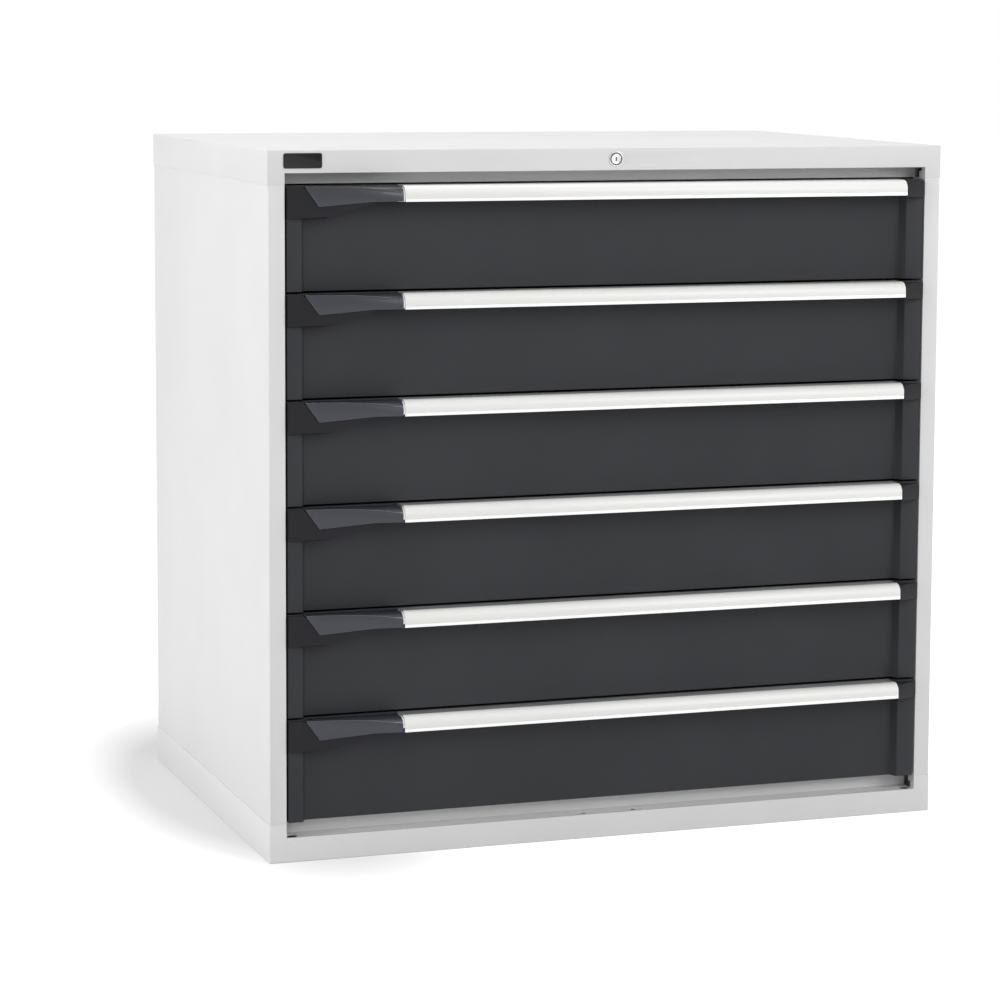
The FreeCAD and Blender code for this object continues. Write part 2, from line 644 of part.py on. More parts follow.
def make_drawer_box():
    """Tray with outward rims and a channel on each side. The lug that the lock's tooth holds is
    welded to its side."""
    tray = new_body("tray_master")
    slab(tray, "XY", "tray_floor", "tray_top",
         rectangle("-tray_x", "tray_front", "tray_x", "tray_back"))
    cut(tray, "XY", "tray_floor + tray_gauge", "tray_top + overrun",
        rectangle("tray_gauge - tray_x", "tray_front + tray_gauge",
                  "tray_x - tray_gauge", "tray_back - tray_gauge"))
    low, high = "runner_level - runner_height / 2", "runner_level + runner_height / 2"
    web = "tray_x + runner_gauge"
    channel = [
        ("tray_x", low), ("channel_tip", low), ("channel_tip", f"{low} + runner_gauge"),
        (web, f"{low} + runner_gauge"), (web, f"{high} - runner_gauge"),
        ("channel_tip", f"{high} - runner_gauge"), ("channel_tip", high), ("tray_x", high),
    ]
    for side in ("-", ""):
        slab(tray, "XY", "tray_top - tray_gauge", "tray_top",
             rectangle(f"{side}tray_x", "tray_front", f"{side}(tray_x + rim_width)", "tray_back"))
        slab(tray, "XZ", "front_y + channel_front", "tray_back",
             [(f"{side}({across})", up) for across, up in channel])
    lug = prism("lug_master", "XZ", "lug_y", "lug_y + lug_gauge",
                rectangle("tray_x", "lug_z",
                          "post_x - tooth_reach + lug_overlap", "lug_z + lug_height"))
    return combine("Compound", "box_master", tray, lug)


def make_wedge(label, grow):
    """The space of the recessed field: a block with sloping sides that runs out at foot and top."""
    wedge = doc.addObject("Part::Wedge", label)
    left, right = f"dish_left - front_half - {grow}", f"front_half - dish_right + {grow}"
    foot, top = "front_foot - overrun", "front_top + overrun"
    places = {
        "Xmin": left, "Xmax": right, "Ymin": f"front_y + {grow}", "Ymax": f"field_y + {grow}",
        "Zmin": foot, "Zmax": top, "X2min": f"{left} + slope_side",
        "X2max": f"{right} - slope_side", "Z2min": foot, "Z2max": top,
    }
    for name, place in places.items():
        setattr(wedge, name, value(place))
    for name, place in places.items():
        wedge.setExpression(name, bound(place))
    return wedge


def make_drawer_front():
    """A pressed panel: flush strips beside a recessed field that runs out at foot and top."""
    outside = box("front_outside", ("-front_half", "front_y", "front_foot"),
                  ("front_half", "return_y", "front_top"))
    inside = box("front_inside",
                 ("front_gauge - front_half", "front_y + front_gauge", "front_foot + front_gauge"),
                 ("front_half - front_gauge", "return_y + overrun", "front_top - front_gauge"))
    pressed = combine("Cut", "front_pressed", outside, make_wedge("field", "0"))
    hollow = combine("Cut", "front_hollow", inside, make_wedge("field_back", "front_gauge"))
    return combine("Cut", "front_master", pressed, hollow)


def make_handle_rail():
    """An extruded hood: rear leg on the field, flat top, rounded face with a channel for the label
    between two lips, and a finger bead inside the lower edge."""
    bend = "handle_face + handle_round"
    foot = "front_top - handle_height"
    shoulder = "front_top - handle_round"
    groove = "handle_face + label_recess"
    inside = "handle_face + handle_wall"
    leg = "field_y - handle_wall"
    corners = [
        ("field_y", "front_top"), (bend, "front_top"), (bend, "front_top - label_recess"),
        (groove, shoulder, "handle_round - label_recess", 1), (groove, f"{foot} + lower_lip"),
        ("handle_face", f"{foot} + lower_lip"), ("handle_face", foot),
        ("handle_face + bead_depth", foot), ("handle_face + bead_depth", f"{foot} + bead_height"),
        (inside, f"{foot} + 2 * bead_height"), (inside, shoulder),
        (bend, "front_top - handle_wall", "handle_round - handle_wall", -1),
        (leg, "front_top - handle_wall"), (leg, "front_top - handle_leg"),
        ("field_y", "front_top - handle_leg"),
    ]
    return prism("rail_master", "YZ", "rail_left", "rail_right", corners)


def make_label_strip():
    """A strip bent over the rounded face of the rail, in its channel."""
    bend = "handle_face + handle_round"
    shoulder = "front_top - handle_round"
    groove = "handle_face + label_recess"
    foot = "front_top - handle_height + lower_lip + label_play"
    corners = [
        (bend, "front_top - label_recess"), (bend, "front_top - label_play"),
        ("handle_face + label_play", shoulder, "handle_round - label_play", 1),
        ("handle_face + label_play", foot), (groove, foot),
        (groove, shoulder),
    ]
    closing = (bend, "front_top - label_recess", "handle_round - label_recess", -1)
    return prism("label_master", "YZ", "rail_left", "rail_right", [closing] + corners[1:])


def make_end_cap():
    """A moulded cap that fairs the end of the rail down to the flush strip: the rail's rounded
    section, cut back by a slanted face and a falling top."""
    face = "handle_face + label_play"
    top = "front_top - label_play"
    section = prism("cap_section", "YZ", "rail_right", "front_half", [
        ("front_y", top), ("handle_face + handle_round", top),
        (face, "front_top - handle_round", "handle_round - label_play", 1),
        (face, "front_top - cap_foot"), ("front_y", "front_top - cap_foot")])
    plan = prism("cap_plan", "XY", "front_top - 2 * cap_foot", "front_top + overrun", [
        ("rail_right", "front_y"), ("rail_right", face),
        ("rail_right + cap_crease", f"{face} + cap_crease / 2"),
        ("front_half", "front_y - cap_end_reach"), ("front_half", "front_y")])
    outline = prism("cap_outline", "XZ", "handle_face", "front_y", [
        ("rail_right", "front_top - cap_inner_foot"), ("front_half", "front_top - cap_foot"),
        ("front_half", "front_top - cap_top_drop"),
        ("rail_right + cap_crease", "front_top - cap_top_drop"), ("rail_right", top)])
    return combine("MultiCommon", "cap_master", section, plan, outline)


def grip_side(inset, foot):
    """Side view of the grip's hood, inside the handle's outline by a wall: flat top, round, face."""
    return [
        ("pivot_y", f"front_top - lever_drop - {inset}"),
        ("handle_face + handle_round", f"front_top - lever_drop - {inset}"),
        (f"handle_face + lever_play + {inset}", "front_top - handle_round - lever_drop",
         f"handle_round - {inset} - lever_play", 1),
        (f"handle_face + lever_play + {inset}", f"front_top - {foot}"),
        ("pivot_y", f"front_top - {foot}"),
    ]


def make_grip_plan(label, offset, back):
    """Plan of the grip: its face runs out from the left end to the full reach of the handle."""
    corners = [
        ("grip_left", back), ("grip_left", f"front_y - grip_reach - {offset}"),
        ("grip_right", f"handle_face + lever_play + lever_shell - {offset}"),
        ("grip_right", back),
    ]
    return prism(label, "XY", "front_top - 2 * grip_height", "front_top + overrun", corners)


def make_catch_housing():
    """The moulded grip: a tall block at the left that falls to a hood at the right, hollow below for
    the fingers, with two ears and the pivot pin of the lever."""
    top = "front_top - grip_drop"
    face = prism("housing_face", "XZ", "handle_face - overrun", "front_y", [
        ("grip_left", top), ("grip_left", "front_top - grip_height"),
        ("grip_left + grip_corner", "front_top - grip_height"),
        ("grip_left + grip_neck", "front_top - grip_low"), ("grip_right", "front_top - grip_low"),
        ("grip_right", top)])
    shell = "handle_face + lever_play + lever_shell"
    bend = "handle_round - lever_play - lever_shell"
    side = prism("housing_side", "YZ", "grip_left", "grip_right", [
        ("front_y", top), (f"{shell} + {bend}", top), (shell, f"{top} - ({bend})", bend, 1),
        (shell, "front_top - grip_height + grip_slope"),
        ("front_y - grip_reach / 2", "front_top - grip_height"), ("front_y", "front_top - grip_height")])
    moulding = combine("MultiCommon", "housing_moulding", face, side,
                       make_grip_plan("housing_plan", "0", "front_y"))
    hollow_side = prism("hollow_side", "YZ", "grip_left + grip_cavity_start", "grip_right - grip_wall", [
        ("front_y + overrun", f"{top} - grip_deck"), (f"{shell} + {bend}", f"{top} - grip_deck"),
        (f"{shell} + grip_wall", f"{top} - ({bend})"),
        (f"{shell} + grip_wall", "front_top - 2 * grip_height"),
        ("front_y + overrun", "front_top - 2 * grip_height")])
    hollow = combine("MultiCommon", "housing_hollow", hollow_side,
                     make_grip_plan("hollow_plan", "-grip_wall", "front_y + overrun"))
    hood = combine("Cut", "housing_hood", moulding, hollow)
    rear = prism("housing_rear", "YZ", "grip_left + grip_back_start", "grip_right", [
        ("front_y", top), ("front_y", f"{top} - grip_deck"),
        ("field_y - grip_wall", f"{top} - grip_deck"), ("field_y - grip_wall", "front_top - grip_low"),
        ("field_y", "front_top - grip_low"), ("field_y", top)])
    raised = prism("housing_raised", "XZ", "handle_face", "front_y", [
        ("grip_left", f"{top} - grip_deck"), ("grip_left + lever_start - block_gap", f"{top} - grip_deck"),
        ("grip_left + lever_start - block_gap", "front_top - block_drop"),
        ("grip_left", "front_top - block_drop")])
    block = combine("MultiCommon", "housing_block", raised,
                    make_grip_plan("block_plan", "0", "front_y"))
    solid = combine("MultiFuse", "housing_solid", hood, rear, block)
    ears = []
    for number, start in enumerate(("grip_left + ear_start", "ear_end - ear_width"), start=1):
        ears.append(box(f"ear_{number}", (start, "pivot_y - ear_half_depth", f"{top} - grip_deck"),
                        (f"{start} + ear_width", "pivot_y + ear_half_depth",
                         "pivot_z + knuckle_half")))
    groove = box("housing_groove",
                 ("grip_left + ear_start + ear_width", "pivot_y - knuckle_room",
                  "pivot_z - knuckle_room"),
                 ("ear_end - ear_width", "pivot_y + knuckle_room", "front_top + overrun"))
    grooved = combine("Cut", "housing_grooved", solid, groove)
    pin = cylinder_x("pivot_pin", "pin_radius", "grip_left + ear_start", "ear_end",
                     "pivot_y", "pivot_z")
    return combine("MultiFuse", "housing_master", grooved, *ears, pin)


def make_catch_lever():
    """A thin shell over the grip's face, with a slanted left edge and a knuckle on the pivot pin."""
    foot = "grip_height"
    face = prism("lever_face", "XZ", "handle_face - overrun", "pivot_y", [
        ("grip_left + lever_start", "front_top - lever_drop"),
        ("grip_left + lever_low_start", "front_top - lever_low"),
        ("grip_left + lever_neck", "front_top - lever_foot"),
        ("lever_right", "front_top - lever_foot"), ("lever_right", "front_top - lever_drop")])
    outside = combine("MultiCommon", "lever_outside", face,
                      prism("lever_side", "YZ", "grip_left", "grip_right", grip_side("0", foot)),
                      make_grip_plan("lever_plan", "lever_shell", "pivot_y"))
    inside = combine("MultiCommon", "lever_inside",
                     prism("lever_side_inner", "YZ", "grip_left", "grip_right",
                           grip_side("lever_wall", foot)),
                     make_grip_plan("lever_plan_inner", "lever_play", "pivot_y"))
    shell = combine("Cut", "lever_thin", outside, inside)
    start = "grip_left + ear_start + ear_width + groove_play"
    end = "ear_end - ear_width - groove_play"
    knuckle = box("lever_knuckle", (start, "pivot_y - knuckle_half", "pivot_z - knuckle_half"),
                  (end, "pivot_y + knuckle_half", "pivot_z + knuckle_half"))
    joined = combine("MultiFuse", "lever_joined", shell, knuckle)
    bore = cylinder_x("lever_bore", "pin_radius + pin_play", f"{start} - overrun",
                      f"{end} + overrun", "pivot_y", "pivot_z")
    bored = combine("Cut", "lever_bored", joined, bore)
    notches = []
    for number, (near, far) in enumerate(
            (("grip_left", start), (end, "grip_right")), start=1):
        notches.append(box(f"notch_{number}", (near, "pivot_y - ear_half_depth - ear_play",
                                               "pivot_z - knuckle_room"),
                           (far, "pivot_y + overrun", "front_top + overrun")))
    return combine("Cut", "lever_master", bored, combine("MultiFuse", "lever_notches", *notches))


def roller(label, start, end, place):
    """A roller across X as a many-sided disc, since there are so many of them."""
    disc = doc.addObject("Part::Prism", label)
    disc.Polygon = ROLLER_SIDES
    disc.setExpression("Circumradius", bound("roller_radius"))
    disc.setExpression("Height", bound(f"({end}) - ({start})"))
    disc.Placement.Rotation = FreeCAD.Rotation(FreeCAD.Vector(0, 1, 0), 90)
    for axis, level in zip("xyz", (start, place, "runner_level")):
        disc.setExpression(f"Placement.Base.{axis}", bound(level))
    return disc


def make_carriages():
    """A plate on each side, with two rollers in the case channel and two in the drawer's."""
    halves = []
    low, high = "runner_level - carriage_height / 2", "runner_level + carriage_height / 2"
    rollers = (
        ("outer", "carriage_outer", "post_x - runner_gauge - roller_side_gap",
         ("carriage_end - roller_inset", "carriage_end - roller_inset - roller_spacing")),
        ("inner", "tray_x + runner_gauge + roller_side_gap", "carriage_inner",
         ("carriage_start + roller_inset", "carriage_start + roller_inset + roller_spacing")),
    )
    for hand, side in (("left", "-"), ("right", "")):
        near, far = ordered(side, "carriage_inner", "carriage_outer")
        pieces = [box(f"plate_{hand}", (near, "carriage_start", low), (far, "carriage_end", high))]
        for name, inner, outer, places in rollers:
            for number, place in enumerate(places, start=1):
                pieces.append(roller(f"roller_{name}_{hand}_{number}",
                                     *ordered(side, inner, outer), place))
        halves.append(combine("MultiFuse", f"carriage_{hand}", *pieces))
    return combine("Compound", "carriages_master", *halves)


def ordered(side, near, far):
    """Both ends of a span along X, low end first, on the given side."""
    if side == "-":
        return (f"-({far})", f"-({near})")
    return (near, far)


def place_copy(master, label, number):
    """A body that copies a master piece to the height of its drawer."""
    copy = new_body(label)
    copy.BaseFeature = master
    copy.setExpression("Placement.Base.z", bound(drawer_z(number)))
    return copy


parts = [
    make_side_panel("side_panel_left", "-"),
    make_side_panel("side_panel_right", ""),
    make_back_panel(),
    make_top_cap(),
    make_base_pan(),
    make_posts(),
    make_runners(),
    make_badge(),
    make_lock_body(),
    make_lock_barrel(),
    make_lock_rod(),
    make_lock_bar(),
]
masters = {
    "box": make_drawer_box(),
    "front": make_drawer_front(),
    "handle_rail": make_handle_rail(),
    "label_strip": make_label_strip(),
    "end_cap": make_end_cap(),
    "catch_housing": make_catch_housing(),
    "catch_lever": make_catch_lever(),
    "carriages": make_carriages(),
}
doc.recompute()
for drawer in range(1, DRAWERS + 1):
    for piece, master in masters.items():
        parts.append(place_copy(master, f"drawer_{drawer}_{piece}", drawer))
doc.recompute()

for item in doc.Objects:
    if "Invalid" in item.State or "Error" in item.State:
        raise RuntimeError(f"{item.Label} did not build: {item.State}")
for part in parts:
    if part.Shape.isNull() or not part.Shape.isValid():
        raise RuntimeError(f"{part.Label} has no valid shape")

os.makedirs("parts", exist_ok=True)
for part in parts:
    part.Shape.exportStep(f"parts/{part.Label}.step")
    solids = len(part.Shape.Solids)
    print(f"{part.Label}: {solids} solid(s), {part.Shape.Volume / 1000:.1f} cm3")
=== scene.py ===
# %% [markdown]
# # A drawer cabinet, dressed for its picture
# The cabinet is a folded steel case with six wide drawers. Its exact shapes come from the CAD
# model, and this lesson gives them what a picture needs: rounded edges, small fittings, paint,
# metal and plastic, a camera and a soft studio. Everything is in metres, with the floor at Z 0,
# the drawers facing -Y and the cabinet's middle at X 0.

# %% Load the frame
import json
import math

import bpy
from mathutils import Matrix, Vector


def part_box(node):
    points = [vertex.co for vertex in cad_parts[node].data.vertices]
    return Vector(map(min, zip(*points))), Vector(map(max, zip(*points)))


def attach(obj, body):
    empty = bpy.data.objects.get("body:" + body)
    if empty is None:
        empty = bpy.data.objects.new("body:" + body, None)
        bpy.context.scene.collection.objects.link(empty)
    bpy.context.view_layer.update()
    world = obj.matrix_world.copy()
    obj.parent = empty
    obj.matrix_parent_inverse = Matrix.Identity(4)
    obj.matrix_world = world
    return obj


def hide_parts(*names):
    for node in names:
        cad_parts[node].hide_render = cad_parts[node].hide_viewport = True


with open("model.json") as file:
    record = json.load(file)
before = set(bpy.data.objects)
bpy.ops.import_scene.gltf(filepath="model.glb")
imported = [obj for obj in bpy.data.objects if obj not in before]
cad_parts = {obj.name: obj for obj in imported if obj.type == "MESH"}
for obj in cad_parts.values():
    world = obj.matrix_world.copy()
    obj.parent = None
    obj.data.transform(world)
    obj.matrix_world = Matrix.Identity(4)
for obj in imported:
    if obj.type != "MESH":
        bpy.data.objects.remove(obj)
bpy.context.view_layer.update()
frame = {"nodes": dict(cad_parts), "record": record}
MM = 0.001
DRAWERS = 6
drawer_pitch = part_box("drawer_1_front")[0].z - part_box("drawer_2_front")[0].z
print("nodes", len(frame["nodes"]), "drawers", round(drawer_pitch / MM, 1), "mm apart")

# %% [markdown]
# ## Tools for the workshop
# Blender's operators act on whatever is selected, so each step starts by selecting one object and
# nothing else. The CAD meshes are loose triangles with knife-sharp edges. Real sheet and moulded
# plastic never have those, and a rounded edge is what catches the light, so a copy of each solid
# is merged, its triangles are joined into flat faces, and a bevel rounds its edges.

# %% Helpers for selecting
MERGE_GAP = 0.002 * MM
FLAT_ANGLE = math.radians(1)
EDGE_ANGLE = math.radians(25)
NEAR = 0.03 * MM
FACING = 0.9


def select_nothing():
    """Deselect every object."""
    for item in bpy.context.selected_objects:
        item.select_set(False)


def only(piece):
    """Select one object and make it active."""
    select_nothing()
    piece.select_set(True)
    bpy.context.view_layer.objects.active = piece


def edit(piece, kind):
    """Enter edit mode on one piece, with nothing selected and one kind of element to pick."""
    only(piece)
    bpy.ops.object.mode_set(mode="EDIT")
    bpy.ops.mesh.select_mode(type=kind)
    bpy.ops.mesh.select_all(action="DESELECT")


def pick_faces(piece, wanted):
    """Select the faces whose middle and normal pass a test, and stay in edit mode."""
    edit(piece, "FACE")
    bpy.ops.object.mode_set(mode="OBJECT")
    for face in piece.data.polygons:
        face.select = bool(wanted(face.center, face.normal))
    bpy.ops.object.mode_set(mode="EDIT")


def pick_edges(piece, wanted):
    """Select the edges whose two ends pass a test, stay in edit mode, and say how many there are."""
    edit(piece, "EDGE")
    bpy.ops.object.mode_set(mode="OBJECT")
    found = 0
    for line in piece.data.edges:
        start, end = (piece.data.vertices[index].co for index in line.vertices)
        line.select = bool(wanted(start, end))
        found += line.select
    bpy.ops.object.mode_set(mode="EDIT")
    return found


def done():
    """Leave edit mode."""
    bpy.ops.object.mode_set(mode="OBJECT")


def at(point, places):
    """Whether a point has the coordinates that a dictionary such as {"x": 0.1} names."""
    return all(abs(getattr(point, axis) - place) < NEAR for axis, place in places.items())


# %% Helpers for finishing
def apply_modifiers(piece):
    """Turn what the piece's modifiers make into its own mesh."""
    only(piece)
    for modifier in list(piece.modifiers):
        bpy.ops.object.modifier_apply(modifier=modifier.name)


def round_edges(piece, radius, steps=3, rim=None):
    """Round every edge sharper than EDGE_ANGLE; a rim is the finish of the rounded edges alone, used for
    painted highlights.
    """
    only(piece)
    bpy.ops.object.shade_smooth()
    bevel = piece.modifiers.new("rounded edges", "BEVEL")
    bevel.width = radius
    bevel.segments = steps
    bevel.limit_method = "ANGLE"
    bevel.angle_limit = EDGE_ANGLE
    bevel.harden_normals = True
    bevel.use_clamp_overlap = True
    if rim is not None:
        piece.data.materials.append(rim)
        bevel.material = len(piece.data.materials) - 1
    apply_modifiers(piece)


def second_finish():
    """Give the faces picked in edit mode the active piece's second finish."""
    bpy.context.active_object.active_material_index = 1
    bpy.ops.object.material_slot_assign()


def copy_of_node(node, name):
    """A merged copy of a CAD node, with its triangles joined into flat faces."""
    only(frame["nodes"][node])
    bpy.ops.object.duplicate()
    piece = bpy.context.active_object
    piece.name = name
    piece.parent = None
    for key in list(piece.keys()):
        del piece[key]
    bpy.ops.object.mode_set(mode="EDIT")
    bpy.ops.mesh.select_all(action="SELECT")
    bpy.ops.mesh.remove_doubles(threshold=MERGE_GAP)
    bpy.ops.mesh.dissolve_limited(angle_limit=FLAT_ANGLE)
    done()
    return piece


def place_here(piece):
    """Put a primitive's place, turn and scale into its mesh, so its object sits at the origin."""
    only(piece)
    bpy.ops.object.transform_apply(location=True, rotation=True, scale=True)


def block(name, low, high, finish):
    """A block between two corners, in one finish, to be shaped further."""
    select_nothing()
    middle = [(a + b) / 2 for a, b in zip(low, high)]
    bpy.ops.mesh.primitive_cube_add(size=1, location=middle)
    piece = bpy.context.active_object
    piece.name = name
    piece.scale = [b - a for a, b in zip(low, high)]
    place_here(piece)
    piece.data.materials.append(finish)
    return piece


def disc(name, middle, radius, depth, axis, finish, sides=28):
    """A flat cylinder about X or Y, in one finish, to be shaped further."""
    select_nothing()
    turn = {"X": (0, math.radians(90), 0), "Y": (math.radians(90), 0, 0)}[axis]
    bpy.ops.mesh.primitive_cylinder_add(vertices=sides, radius=radius, depth=depth,
                                        location=middle, rotation=turn)
    piece = bpy.context.active_object
    piece.name = name
    place_here(piece)
    piece.data.materials.append(finish)
    return piece


def joined(name, pieces):
    """Several pieces as one."""
    only(pieces[0])
    for piece in pieces[1:]:
        piece.select_set(True)
    bpy.ops.object.join()
    pieces[0].name = name
    return pieces[0]


def settle(piece, body, slot, *nodes):
    """Give a finished piece its body and hide the nodes it stands for; the slot is not used."""
    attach(piece, body)
    if nodes:
        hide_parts(*nodes)


def repeat(piece, name, shift=(0, 0, 0), mirror=False):
    """A copy with a mesh of its own, shifted, or mirrored across the middle of the cabinet."""
    twin = piece.copy()
    twin.data = piece.data.copy()
    twin.name = name
    twin.parent = None
    for key in list(twin.keys()):
        del twin[key]
    bpy.context.scene.collection.objects.link(twin)
    if mirror:
        twin.data.transform(Matrix.Scale(-1, 4, (1, 0, 0)))
        twin.data.flip_normals()
    twin.data.transform(Matrix.Translation(shift))
    return twin


# %% [markdown]
# ## Finishes
# Every finish is a small tree of nodes on Object coordinates, which are metres here because each
# piece sits at the origin. Powder coat has a faint orange peel, so it gets a fine bump and a little
# unevenness in gloss. The number that is the same all over goes straight on the shader's socket.

# %% Helpers for materials
# Noise seldom leaves the middle of its range, so the two ends of a span lie here.
NOISE_LOW, NOISE_HIGH = 0.35, 0.65
COAT_ROUGHNESS = 0.08


def shader_tree(name):
    """A new material, and its nodes, links, shader and Object coordinates."""
    material = bpy.data.materials.new(name)
    material.use_nodes = True
    nodes, links = material.node_tree.nodes, material.node_tree.links
    shader = nodes["Principled BSDF"]
    place = nodes.new("ShaderNodeTexCoord").outputs["Object"]
    return material, nodes, links, shader, place


def noise(nodes, links, place, scale, detail=2.0, stretch=(1, 1, 1)):
    """A noise texture, as many lumps to the metre as its scale says."""
    mapping = nodes.new("ShaderNodeMapping")
    mapping.inputs["Scale"].default_value = stretch
    links.new(place, mapping.inputs["Vector"])
    texture = nodes.new("ShaderNodeTexNoise")
    texture.inputs["Scale"].default_value = scale
    texture.inputs["Detail"].default_value = detail
    links.new(mapping.outputs["Vector"], texture.inputs["Vector"])
    return texture.outputs["Fac"]


def between(nodes, links, source, low, high, near=NOISE_LOW, far=NOISE_HIGH):
    """Turn a texture into values between two limits."""
    spread = nodes.new("ShaderNodeMapRange")
    spread.inputs["From Min"].default_value = near
    spread.inputs["From Max"].default_value = far
    spread.inputs["To Min"].default_value = low
    spread.inputs["To Max"].default_value = high
    links.new(source, spread.inputs["Value"])
    return spread.outputs["Result"]


def two_tones(nodes, links, source, dark, light):
    """Turn a texture into colours between two tones."""
    ramp = nodes.new("ShaderNodeValToRGB")
    ramp.color_ramp.elements[0].position = NOISE_LOW
    ramp.color_ramp.elements[0].color = (*dark, 1)
    ramp.color_ramp.elements[1].position = NOISE_HIGH
    ramp.color_ramp.elements[1].color = (*light, 1)
    links.new(source, ramp.inputs["Fac"])
    return ramp.outputs["Color"]


def bump(nodes, links, shader, source, height):
    """Raise the surface by a texture, by a height in metres."""
    relief = nodes.new("ShaderNodeBump")
    relief.inputs["Distance"].default_value = height
    links.new(source, relief.inputs["Height"])
    links.new(relief.outputs["Normal"], shader.inputs["Normal"])


def finish_like(name, dark, light, gloss, grain, height, metallic=0.0, patch=6.0,
                stretch=(1, 1, 1), coat=0.0, specular=0.5):
    """A finish from two tones in soft patches, a span of roughness, and a grain of some height."""
    material, nodes, links, shader, place = shader_tree(name)
    patches = noise(nodes, links, place, patch, 3.0)
    links.new(two_tones(nodes, links, patches, dark, light), shader.inputs["Base Color"])
    lumps = noise(nodes, links, place, grain, 2.0, stretch)
    links.new(between(nodes, links, lumps, *gloss), shader.inputs["Roughness"])
    shader.inputs["Metallic"].default_value = metallic
    shader.inputs["Coat Weight"].default_value = coat
    shader.inputs["Coat Roughness"].default_value = COAT_ROUGHNESS
    shader.inputs["Specular IOR Level"].default_value = specular
    bump(nodes, links, shader, lumps, height)
    return material


# %% The ten finishes of the cabinet
case_paint = finish_like("case_paint", (0.735, 0.735, 0.735), (0.755, 0.755, 0.757),
                         (0.42, 0.56), 900, 0.02 * MM, specular=0.4)
box_paint = finish_like("box_paint", (0.36, 0.365, 0.375), (0.39, 0.395, 0.405),
                        (0.42, 0.56), 900, 0.02 * MM)
front_paint = finish_like("front_paint", (0.027, 0.0282, 0.0322), (0.031, 0.0323, 0.0365),
                          (0.5, 0.62), 1000, 0.02 * MM, specular=0.25)
zinc_steel = finish_like("zinc_steel", (0.50, 0.51, 0.52), (0.62, 0.63, 0.63),
                         (0.3, 0.46), 260, 0.004 * MM, metallic=1.0, patch=45)
rail_aluminium = finish_like("rail_aluminium", (0.74, 0.745, 0.75), (0.78, 0.785, 0.79),
                             (0.4, 0.5), 1500, 0.004 * MM, metallic=1.0, stretch=(0.02, 1, 1))
label_white = finish_like("label_white", (0.86, 0.855, 0.83), (0.88, 0.875, 0.85),
                          (0.3, 0.42), 300, 0.003 * MM)
grip_plastic = finish_like("grip_plastic", (0.0095, 0.0095, 0.0115), (0.0125, 0.0125, 0.015),
                           (0.46, 0.62), 1600, 0.03 * MM, specular=0.22)
lever_plastic = finish_like("lever_plastic", (0.024, 0.027, 0.039), (0.031, 0.034, 0.048),
                            (0.28, 0.36), 500, 0.004 * MM, coat=0.25, specular=0.4)
plate_black = finish_like("plate_black", (0.015, 0.0152, 0.016), (0.019, 0.0192, 0.0205),
                          (0.5, 0.6), 700, 0.004 * MM, specular=0.25)
lock_metal = finish_like("lock_metal", (0.66, 0.66, 0.67), (0.72, 0.72, 0.73),
                         (0.16, 0.26), 800, 0.003 * MM, metallic=1.0, patch=120)
FINISH = {
    "case_paint": case_paint, "box_paint": box_paint, "front_paint": front_paint,
    "zinc_steel": zinc_steel, "rail_aluminium": rail_aluminium, "label": label_white,
    "grip_plastic": grip_plastic, "lever_plastic": lever_plastic, "plate": plate_black,
    "lock_metal": lock_metal,
}
NODE_SLOT = {part["node"]: part["material_slot"] for part in frame["record"]["subparts"]}
for node, solid in frame["nodes"].items():
    solid.data.materials.clear()
    solid.data.materials.append(FINISH[NODE_SLOT[node]])
print(len(FINISH), "finishes on", len(NODE_SLOT), "nodes")

# %% [markdown]
# ## Painted highlights and painted shade for edges and hollows
# The rounded edges of dark plastic are given a paler colour than its faces, a painted highlight where
# the edges would catch the light. The dished ring of the lock is given dark metal, a painted dark
# reflection, and its keyway near black, painted shade. These finishes go on single faces of a piece,
# beside its main one.

# %% Painted highlight and painted shade finishes
# Paler colours for the rounded edges of the dark plastic: painted highlights.
lever_painted_highlight = finish_like("lever_painted_highlight", (0.33, 0.335, 0.355), (0.4, 0.405, 0.425),
                         (0.3, 0.4), 500, 0.004 * MM)
grip_painted_highlight = finish_like("grip_painted_highlight", (0.07, 0.0705, 0.075), (0.085, 0.086, 0.091),
                        (0.4, 0.5), 900, 0.01 * MM)
# Dark metal for the lock's dished groove: a painted dark reflection.
lock_groove_painted_reflection = finish_like("lock_groove_painted_reflection", (0.05, 0.05, 0.052), (0.09, 0.09, 0.093),
                          (0.25, 0.4), 900, 0.01 * MM, metallic=0.8, patch=200)
# Near black for the keyway and the screw sockets: painted shade.
painted_shade_black = finish_like("painted_shade_black", (0.004, 0.004, 0.004), (0.007, 0.007, 0.007),
                           (0.6, 0.8), 900, 0.01 * MM, specular=0.1)

# %% [markdown]
# ## The case
# The case is folded from 1.5 mm sheet. A fold has a bend of about the sheet's own thickness on its
# outside, while a cut edge keeps only a small burr-free radius. So the folds are bevelled first, in
# edit mode, and the rest of the edges get the small radius from the modifier.

# %% The folds of the sheets
SHEET_EDGE = 0.5 * MM
THIN_SHEET_EDGE = 0.3 * MM
FOLD = 1.6 * MM
FOLD_STEPS = 4
cap_low, cap_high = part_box("top_cap")
left_low, left_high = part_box("side_panel_left")
pan_low, pan_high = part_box("base_pan")
FOLDS = {
    "top_cap": [{"x": cap_low.x, "z": cap_high.z}, {"x": cap_high.x, "z": cap_high.z},
                {"y": cap_low.y, "z": cap_high.z}, {"y": cap_high.y, "z": cap_high.z},
                {"x": cap_low.x, "y": cap_low.y}, {"x": cap_high.x, "y": cap_low.y}],
    "base_pan": [{"x": pan_low.x, "z": pan_low.z}, {"x": pan_high.x, "z": pan_low.z},
                 {"y": pan_low.y, "z": pan_low.z}, {"x": pan_low.x, "y": pan_low.y},
                 {"x": pan_high.x, "y": pan_low.y}],
    "side_panel_left": [{"x": left_low.x, "y": left_low.y}, {"x": left_low.x, "y": left_high.y},
                        {"x": left_high.x, "y": left_low.y}],
    "side_panel_right": [{"x": -left_low.x, "y": left_low.y}, {"x": -left_low.x, "y": left_high.y},
                         {"x": -left_high.x, "y": left_low.y}],
}

